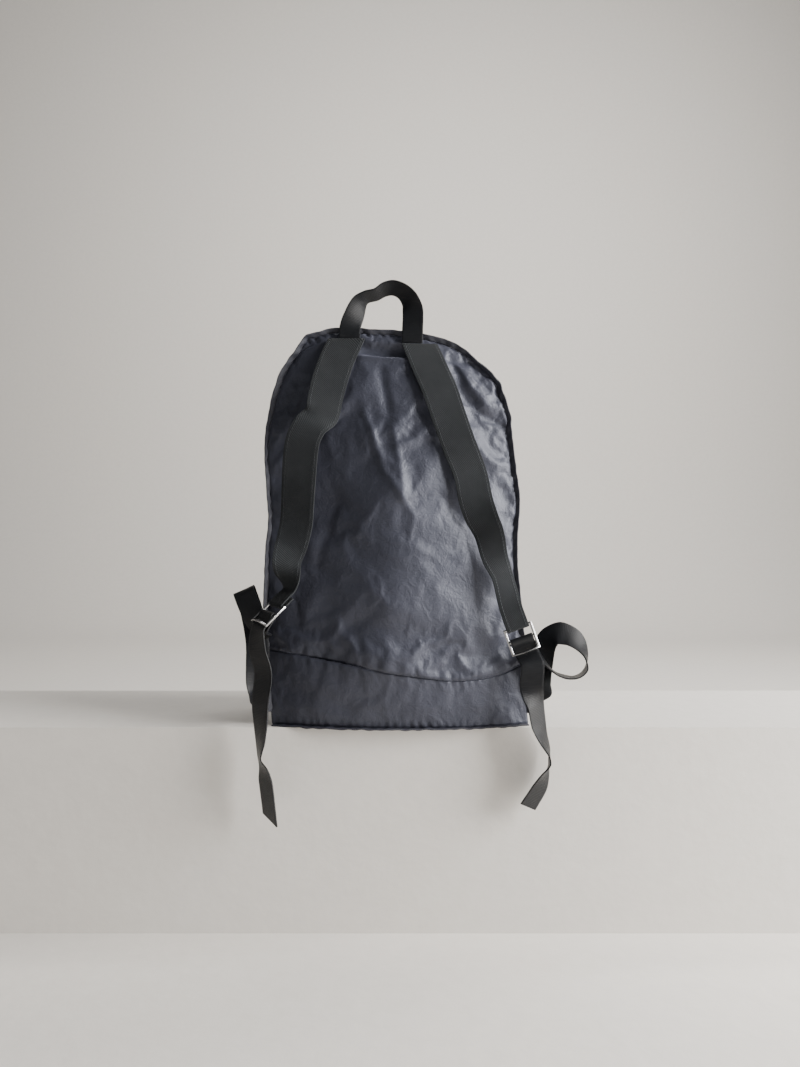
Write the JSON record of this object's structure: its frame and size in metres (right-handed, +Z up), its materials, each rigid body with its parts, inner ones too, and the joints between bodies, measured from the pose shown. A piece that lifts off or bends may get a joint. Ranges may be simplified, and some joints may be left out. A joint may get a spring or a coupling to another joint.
{
  "type": "packable backpack",
  "caption": "Packable nylon daypack with twill shoulder straps, webbing grab handle, metal ladder-lock buckles and hanging strap tails.",
  "frame": {"origin": "middle of the underside of the base, where the pack is seated", "axes": "+Z up; -Y is the harness side, with the shoulder straps; +X is on the right of somebody who looks at that side"},
  "size_m": [0.3849, 0.1737, 0.576],
  "materials": {
    "nylon": "thin crinkled slick nylon, dark navy grey, soft sheen",
    "binding": "narrow woven binding tape, ruffled",
    "twill": "matt black twill",
    "webbing": "smooth black woven webbing",
    "metal": "polished nickel",
    "zip": "black nylon zip tape and coil"
  },
  "bodies": {
    "root": {"back_panel": "nylon", "back_band": "nylon", "side_panel_left": "nylon", "side_panel_right": "nylon", "top_strip_back": "nylon", "top_strip_front": "nylon", "front_panel": "nylon", "base_panel": "nylon", "zip_tape": "zip", "zip_teeth": "zip", "zip_slider": "metal", "zip_pull": "webbing", "binding_back_arch": "binding", "binding_front_arch": "binding", "binding_back_base": "binding", "binding_front_base": "binding", "grab_handle": "webbing", "buckle_left": "metal", "buckle_right": "metal", "shoulder_strap_left": "twill", "shoulder_strap_right": "twill", "adjuster_strap_left": "webbing", "adjuster_strap_right": "webbing"}
  },
  "joints": []
}
